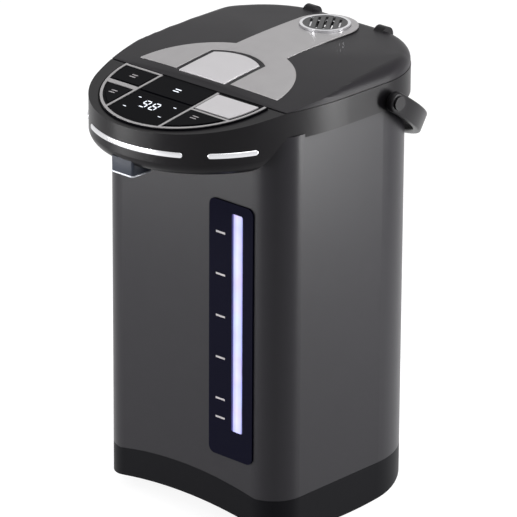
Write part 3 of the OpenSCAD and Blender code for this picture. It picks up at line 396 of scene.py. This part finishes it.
# ---------------------------------------------------------------- lid
# One moulded shell with a crowned top and a round shoulder at the sides and rear, hung on
# the hinge pin. No operator gives a shoulder that grows round the outline, so shell()
# lays rings of points inwards from the outline and fills the rest.
HALF_W, SIDE_Y, REAR, REAR_R = 104, -20, 101, 74
SIDE_H = NOSE_C + SIDE_Y
SIDE_R = (SIDE_H ** 2 / (HALF_W - NOSE_R) + HALF_W + NOSE_R) / 2
JOIN = math.degrees(math.atan2(-SIDE_H, SIDE_R - HALF_W))
LID_TOP, LID_TOP_Y, LID_FRONT, LID_GAP, RIM = 382.3, 75, -83.6, 0.4, 368
RISE_H = LID_TOP - RIM - 2.6
ARCH_R = ((LID_TOP_Y - LID_FRONT) ** 2 + RISE_H ** 2) / (2 * RISE_H)
CROWN_R = 2400
SHOULDER_X, SHOULDER_R, SHOULDER_Z = 90.7, 13, 367.6
KEY_X, KEY_HALF, KEY_ARC, KEY_DEPTH, FAN_Y = -5, 25, 46, 2.8, -72
VENT_Y, DUCT_R, VENT_R = 67, 12, 21.15


def arc(cx, cy, r, start, end, step=2.5):
    n = max(2, math.ceil(abs(math.radians(end - start)) * r / step))
    turns = [math.radians(start + (end - start) * i / n) for i in range(n + 1)]
    return [(cx + r * math.cos(t), cy + r * math.sin(t)) for t in turns]


def line(x0, y0, x1, y1, step=4):
    n = max(1, math.ceil(math.hypot(x1 - x0, y1 - y0) / step))
    return [(x0 + (x1 - x0) * i / n, y0 + (y1 - y0) * i / n) for i in range(n + 1)]


def clean(points):
    """A loop without its doubled points."""
    out = []
    for p in points:
        if not out or math.dist(p, out[-1]) > 0.02:
            out.append(p)
    if math.dist(out[0], out[-1]) < 0.02:
        out.pop()
    return out


def dense(points, step=4):
    """A loop with points at most a step apart."""
    return clean([s for p, q in zip(points, points[1:] + points[:1])
                  for s in line(*p, *q, step)[:-1]])


def behind(points, y):
    """The part of a loop that lies behind y."""
    out = []
    for p, q in zip(points, points[1:] + points[:1]):
        if p[1] >= y:
            out.append(p)
        if (p[1] > y) != (q[1] > y):
            t = (y - p[1]) / (q[1] - p[1])
            out.append((p[0] + (q[0] - p[0]) * t, y))
    return clean(out)


def inside(p, loop):
    hit = False
    for a, b in zip(loop, loop[1:] + loop[:1]):
        if (a[1] > p[1]) != (b[1] > p[1]) and \
                p[0] < (b[0] - a[0]) * (p[1] - a[1]) / (b[1] - a[1]) + a[0]:
            hit = not hit
    return hit


def inward(loop):
    """Unit normals to the left of a loop's way round, lengthened at corners."""
    out = []
    for i, p in enumerate(loop):
        before = (Vector(p) - Vector(loop[i - 1])).normalized()
        after = (Vector(loop[(i + 1) % len(loop)]) - Vector(p)).normalized()
        n = Vector((-before.y - after.y, before.x + after.x)).normalized()
        out.append(n / max(0.6, n.x * -before.y + n.y * before.x))
    return out


def rounded(depth, edge, low_edge):
    """Rim of a plate: rounded upper edge, straight side, rounded lower edge."""
    inset = max(edge, low_edge)
    turns = [math.pi / 6 * k for k in range(4)]
    rows = [(inset, 0)]
    rows += [(edge * (1 - math.sin(t)), -edge * (1 - math.cos(t))) for t in turns]
    rows += [(low_edge * (1 - math.cos(t)), low_edge * (1 - math.sin(t)) - depth) for t in turns]
    rows.append((inset, -depth))
    kept = rows[:1]
    for row in rows[1:]:
        if math.dist(row, kept[-1]) > 1e-6:
            kept.append(row)
    return lambda at: kept


def shell(outer, holes, rim, top, hole_rim, spacing=8):
    """A closed plate that follows top(x, y), with its rims laid out by rim(): pairs of
    distance inwards from the outline and height over the top."""
    bm = bmesh.new()
    rings = []
    for loop, profile in [(outer, rim)] + [(h[::-1], hole_rim) for h in holes]:
        rows = []
        for p, n in zip(loop, inward(loop)):
            def at(off, p=p, n=n):
                return p[0] + n.x * off, p[1] + n.y * off
            rows.append([(*at(off), h) for off, h in profile(at)])
        rings.append(rows)
    loops = [[row[0][:2] for row in rows] for rows in rings]
    border = [p for loop in loops for p in loop]
    edges = []
    for loop in loops:
        first = len(edges)
        edges += [(first + i, first + (i + 1) % len(loop)) for i in range(len(loop))]

    def within(p):
        return inside(p, loops[0]) and not any(inside(p, hole) for hole in loops[1:])

    points = list(border)
    left, right = min(p[0] for p in loops[0]), max(p[0] for p in loops[0])
    front, rear = min(p[1] for p in loops[0]), max(p[1] for p in loops[0])
    for j in range(math.ceil((rear - front) / spacing - 0.5)):
        for i in range(math.ceil((right - left) / spacing - 0.5)):
            p = (left + (i + 0.5) * spacing, front + (j + 0.5) * spacing)
            if within(p) and min(math.dist(p, b) for b in border) > 0.45 * spacing:
                points.append(p)
    points = [Vector(p) for p in points]
    spots, _, triangles, _, _, _ = delaunay_2d_cdt(points, edges, [], 0, 1e-5)
    if len(spots) != len(points):
        raise RuntimeError("outline crosses itself")
    depth = rings[0][0][-1][2]
    upper = [bm.verts.new(put(p.x, p.y, top(p.x, p.y))) for p in spots]
    lower = [bm.verts.new(put(p.x, p.y, top(p.x, p.y) + depth)) for p in spots]
    for a, b, c in triangles:
        if within((spots[a] + spots[b] + spots[c]) / 3):
            bm.faces.new((upper[a], upper[b], upper[c]))
            bm.faces.new((lower[c], lower[b], lower[a]))
    first = 0
    for rows in rings:
        walls = []
        for i, row in enumerate(rows):
            walls.append([upper[first + i]]
                         + [bm.verts.new(put(x, y, top(x, y) + h)) for x, y, h in row[1:-1]]
                         + [lower[first + i]])
        for here, after in zip(walls, walls[1:] + walls[:1]):
            for k in range(len(here) - 1):
                bm.faces.new((here[k], here[k + 1], after[k + 1], after[k]))
        first += len(rows)
    return bm


def crown(x, y):
    return LID_TOP - (y - LID_TOP_Y) ** 2 / (2 * ARCH_R) - x * x / (2 * CROWN_R)


def lid_top(x, y):
    """The crown, cut down by the round of the lid's long sides."""
    over = min(max(0.0, abs(x) - SHOULDER_X), SHOULDER_R)
    return min(crown(x, y), SHOULDER_Z + math.sqrt(SHOULDER_R ** 2 - over ** 2))


def lid_rim(at):
    """Shoulder, wall and foot of the lid: narrow in front, wide at the sides and rear."""
    x, y = at(0)
    width = min(1.0, max(0.08, (y - LID_FRONT) / 24))
    if y < LID_FRONT + 0.1:
        width = 0.075 if abs(x) < 92 else 0.03
    round_r = 9 * min(1.0, max(0.0, (y - 27) / 40))
    foot = RIM + (1.5 if y > 82 else 0.3)
    rows = []
    for off in (15, 11, 8, 5.6, 3.6, 2.2, 1.2, 0.5, 0.1):
        off *= width
        drop = round_r - math.sqrt(max(0.0, round_r ** 2 - max(0.0, round_r - off) ** 2))
        rows.append((off, -drop))
    rows.append((0, max(-round_r, foot + 0.3 - lid_top(x, y)) if round_r > 0 else -0.2))
    rows.append((0, foot - lid_top(x, y)))
    thick = min(2.4, 15 * width)
    rows.append((thick, foot - lid_top(*at(thick))))
    rows.append((15 * width, -2.5))
    return rows


def key_outline(grow):
    """Outline of the release key: square in front, an arc behind."""
    r, w, front = KEY_ARC + grow, KEY_HALF + grow, FAN_Y - 2 - grow
    start = math.degrees(math.acos(w / r))
    return dense([(KEY_X - w, front), (KEY_X + w, front)]
                 + arc(KEY_X, FAN_Y, r, start, 180 - start))


half_plan = arc(0, -NOSE_C, NOSE_R - LID_GAP, -90, JOIN, 3)
half_plan += arc(HALF_W - SIDE_R, SIDE_Y, SIDE_R - LID_GAP, JOIN, 0, 3)
half_plan += line(HALF_W - LID_GAP, SIDE_Y, HALF_W - LID_GAP, REAR - REAR_R)
half_plan += arc(HALF_W - REAR_R, REAR - REAR_R, REAR_R - LID_GAP, 0, 90, 3)
half_plan += line(HALF_W - REAR_R, REAR - LID_GAP, 0, REAR - LID_GAP)
plan = behind(clean(half_plan + [(-x, y) for x, y in reversed(half_plan)]), LID_FRONT)
# The lid gets a lighter copy of the head's dark plastic: painted light, standing for the light
# that falls on the lid's top.
lid_moulding_painted_light = surface("lid_moulding_painted_light", (0.014, 0.013, 0.015), 0.38, MOULDED, 0.0, 0.05, 0.1,
                       Specular_IOR_Level=0.08)
piece("lid_shell", shell(plan, [key_outline(0.5), arc(0, VENT_Y, DUCT_R, 0, 360)[:-1]],
                         lid_rim, lid_top, rounded(2.5, 0.3, 0.3)),
      lid_moulding_painted_light, "lid", "head_plastic", "lid_cover")

# ---------------------------------------------------------------- silver plate
# Thin moulded plate with silver lacquer, clipped into the crown: a fan in front with a
# notch for the release key, and a neck that runs back round the steam vent. It is sawn
# in two halves that meet on the middle line, and laid on the crown.
PLATE_DEPTH, PLATE_PROUD = 1.2, 0.4
FAN_R, FAN_C, NECK, NOTCH, NOTCH_R = 75.5, FAN_Y - 8, 27.5, 29.5, 50.5
fan_foot = math.degrees(math.asin(8 / FAN_R))
fan_end = math.degrees(math.acos(NECK / FAN_R))
notch_end = math.degrees(math.acos(NOTCH / NOTCH_R))
fan_x = FAN_R * math.cos(math.radians(fan_foot))
neck_y = FAN_C + FAN_R * math.sin(math.radians(fan_end))
notch_middle = math.degrees(math.acos(-KEY_X / NOTCH_R))
right_half = arc(KEY_X, FAN_Y, NOTCH_R, notch_middle, notch_end)
right_half += line(KEY_X + NOTCH, FAN_Y, fan_x, FAN_Y) + arc(0, FAN_C, FAN_R, fan_foot, fan_end)
right_half += line(NECK, neck_y, NECK, VENT_Y) + arc(0, VENT_Y, NECK, 0, 90)
right_half += arc(0, VENT_Y, VENT_R, 90, -90)
left_half = arc(0, VENT_Y, NECK, 90, 180) + line(-NECK, VENT_Y, -NECK, neck_y)
left_half += arc(0, FAN_C, FAN_R, 180 - fan_end, 180 - fan_foot)
left_half += line(-fan_x, FAN_Y, KEY_X - NOTCH, FAN_Y)
left_half += arc(KEY_X, FAN_Y, NOTCH_R, 180 - notch_end, notch_middle)
left_half += arc(0, VENT_Y, VENT_R, -90, -270)


def sawn(loops, depth, edge, low_edge):
    """A plate sawn from flat outlines, with rounded rims, its upper face at z 0."""
    bm = bmesh.new()
    for loop in loops:
        bm.faces.new([bm.verts.new((x, y, 0)) for x, y in clean(loop)])
    bmesh.ops.remove_doubles(bm, verts=bm.verts, dist=0.01)
    grown = bmesh.ops.extrude_face_region(bm, geom=bm.faces[:])["geom"]
    bmesh.ops.translate(bm, verts=[v for v in grown if isinstance(v, bmesh.types.BMVert)],
                        vec=(0, 0, -depth))
    soften(bm, 0, edge)
    soften(bm, -depth, low_edge)
    cut_across(bm, 8)
    cut_across(bm, 8, axis=1)
    return bm


def on_crown(x, y, h):
    return put(x, y, crown(x, y) + h)


piece("silver_plate", bend(sawn([right_half, left_half], PLATE_DEPTH, 0.35, 0.1), on_crown,
                           PLATE_PROUD),
      silver, "lid", "silver_plastic", "lid_plate")

# ---------------------------------------------------------------- release key
# Light silver cap in the lid's front, sawn to its outline and bevelled. It tips on a pin
# and draws the grey latch that holds the lid shut.
piece("release_key_cap", bend(sawn([key_outline(0)], KEY_DEPTH, 0.5, 0.2), on_crown, 0.7),
      light_silver, "release_key", "light_silver", "release_key")
coat(zinc, "release_key_pin")
coat(grey_moulding, "lid_latch")

# ---------------------------------------------------------------- inside of the lid
# Grey inner cover screwed up into the shell. It carries the stainless inner lid with its
# silicone gasket, and the duct that leads the steam to the vent.
coat(grey_moulding, "lid_inner_cover")
coat(zinc, "lid_screws")
coat(silicone, "lid_gasket", "steam_duct")
coat(stainless, "inner_lid")

# ---------------------------------------------------------------- steam vent
# Plated ring pressed into the neck of the silver plate. It holds a black moulded grille
# over the end of the steam duct.
coat(plating, "vent_ring")
coat(inner_black, "vent_grille")

# ---------------------------------------------------------------- hinge and bail
# The lid turns on a steel pin. The bail is one flat moulded strap on two pins in the sides
# of the head: a long block with round ends, bevelled, sliced and bent half round the pot.
BAIL_R, BAIL_T, STRAP, PIVOT_Y, PIVOT_Z = 107.5, 6.5, 17, 29, 352.5
SLOPE = math.radians(33)
LENGTH = math.pi * (BAIL_R + BAIL_T)
coat(zinc, "hinge_pin")
coat(dark_moulding, "handle_pins")


def on_bail(u, v, h):
    r = BAIL_R + BAIL_T + h
    turn = min(max(u / LENGTH, 0), 1) * math.pi
    past = min(u, 0) + min(LENGTH - u, 0)
    x, y = r * math.cos(turn), r * math.sin(turn) + past
    return put(x, PIVOT_Y + y * math.cos(SLOPE) + v * math.sin(SLOPE),
               PIVOT_Z - y * math.sin(SLOPE) + v * math.cos(SLOPE))


strap = block(-STRAP / 2, LENGTH + STRAP / 2, -STRAP / 2, STRAP / 2, BAIL_T, STRAP / 2 - 0.05)
soften(strap, 0, 1.6, 4)
soften(strap, -BAIL_T, 1.6, 4)
cut_across(strap, 4)
piece("bail_strap", bend(strap, on_bail), dark_moulding, "bail", "head_plastic", "bail_handle")

# ---------------------------------------------------------------- camera
# A long lens from the right of the front and a little above, aimed at the pot's middle.
# Its length is the picture's scale in pixels over the picture's width.
TURN, RISE, ROLL = math.radians(42.7), math.radians(21.5), math.radians(0.33)
back = Vector((math.sin(TURN) * math.cos(RISE), -math.cos(TURN) * math.cos(RISE),
               math.sin(RISE)))
level = Vector((math.cos(TURN), math.sin(TURN), 0))
upward = back.cross(level)
side = level * math.cos(ROLL) + upward * math.sin(ROLL)
above = upward * math.cos(ROLL) - level * math.sin(ROLL)
camera = bpy.data.objects.new("camera", bpy.data.cameras.new("camera"))
scene.collection.objects.link(camera)
scene.camera = camera
camera.data.sensor_width = 36
camera.data.lens = 36 * 4880 / 517
camera.data.clip_end = 50
stand = put(0, 0, 195) + back * 4.0 - side * 0.0078 + above * 0.0016
camera.matrix_world = Matrix((side, above, back)).transposed().to_4x4()
camera.matrix_world.translation = stand

# ---------------------------------------------------------------- surroundings
# White room and floor as the camera and the reflections see them; the light that falls on
# the pot stays plain. seen_rays() tells the two apart.
def seen_rays(tree):
    """Mask of the rays that see the background: camera, mirror-like and transmitted."""
    path = tree.nodes.new("ShaderNodeLightPath")
    seen = path.outputs["Is Camera Ray"]
    for ray in ("Is Glossy Ray", "Is Transmission Ray"):
        either = tree.nodes.new("ShaderNodeMath")
        either.operation = "MAXIMUM"
        tree.links.new(seen, either.inputs[0])
        tree.links.new(path.outputs[ray], either.inputs[1])
        seen = either.outputs["Value"]
    return seen


world = bpy.data.worlds.new("studio")
scene.world = world
world.use_nodes = True
room, room_link = world.node_tree.nodes, world.node_tree.links.new
room_light = room["Background"]
room_light.inputs["Color"].default_value = (0.8, 0.8, 0.81, 1)
room_light.inputs["Strength"].default_value = 0.16
room_white = room.new("ShaderNodeBackground")
room_white.inputs["Color"].default_value = (1, 1, 1, 1)
room_pick = room.new("ShaderNodeMixShader")
room_link(seen_rays(world.node_tree), room_pick.inputs["Fac"])
room_link(room_light.outputs["Background"], room_pick.inputs[1])
room_link(room_white.outputs["Background"], room_pick.inputs[2])
room_link(room_pick.outputs["Shader"], room["World Output"].inputs["Surface"])

floor_mesh = bpy.data.meshes.new("floor")
floor_bm = bmesh.new()
bmesh.ops.create_grid(floor_bm, x_segments=1, y_segments=1, size=4)
floor_bm.to_mesh(floor_mesh)
floor_bm.free()
floor = bpy.data.objects.new("floor", floor_mesh)
scene.collection.objects.link(floor)
pale_floor = surface("pale_floor", (0.24, 0.24, 0.245), 0.6, FINE, 0.0, 0.05, 0.01)
floor_nodes, floor_link = pale_floor.node_tree.nodes, pale_floor.node_tree.links.new
floor_glow = floor_nodes.new("ShaderNodeEmission")
floor_glow.inputs["Strength"].default_value = 0.84
floor_sum = floor_nodes.new("ShaderNodeAddShader")
floor_pick = floor_nodes.new("ShaderNodeMixShader")
floor_plain = floor_nodes["Principled BSDF"].outputs["BSDF"]
floor_link(floor_plain, floor_sum.inputs[0])
floor_link(floor_glow.outputs["Emission"], floor_sum.inputs[1])
floor_link(seen_rays(pale_floor.node_tree), floor_pick.inputs["Fac"])
floor_link(floor_plain, floor_pick.inputs[1])
floor_link(floor_sum.outputs["Shader"], floor_pick.inputs[2])
floor_link(floor_pick.outputs["Shader"], floor_nodes["Material Output"].inputs["Surface"])
floor_mesh.materials.append(pale_floor)

# ---------------------------------------------------------------- lamps
# Broad soft lamps from the right, the left and above. Upright strips draw the highlights
# along the side and the front corner of the body, and a low panel lifts the front.
for name, spot, aim, wide, tall, power in (
        ("key_light", (1.1, -0.1, 1.2), (0, 0, 0.3), 0.9, 0.9, 8),
        ("fill_light", (-0.7, -1.2, 1.3), (0, 0, 0.3), 0.8, 0.8, 8),
        ("top_light", (0.0, 0.3, 1.7), (0, 0, 0.3), 1.2, 1.2, 11),
        ("side_strip", (0.64, 0.42, 0.3), (0.1, 0.0, 0.22), 0.12, 0.5, 9),
        ("corner_strip", (-0.28, -1.25, 0.3), (0.07, -0.1, 0.26), 0.1, 0.9, 11),
        ("front_panel", (-0.44, -0.66, 0.2), (0, -0.1, 0.3), 0.4, 0.26, 4)):
    lamp = bpy.data.lights.new(name, "AREA")
    lamp.shape = "RECTANGLE"
    lamp.size, lamp.size_y = wide, tall
    lamp.energy = power
    holder = bpy.data.objects.new(name, lamp)
    holder.location = spot
    holder.rotation_euler = (Vector(aim) - Vector(spot)).to_track_quat("-Z", "Y").to_euler()
    holder.visible_camera = False
    scene.collection.objects.link(holder)
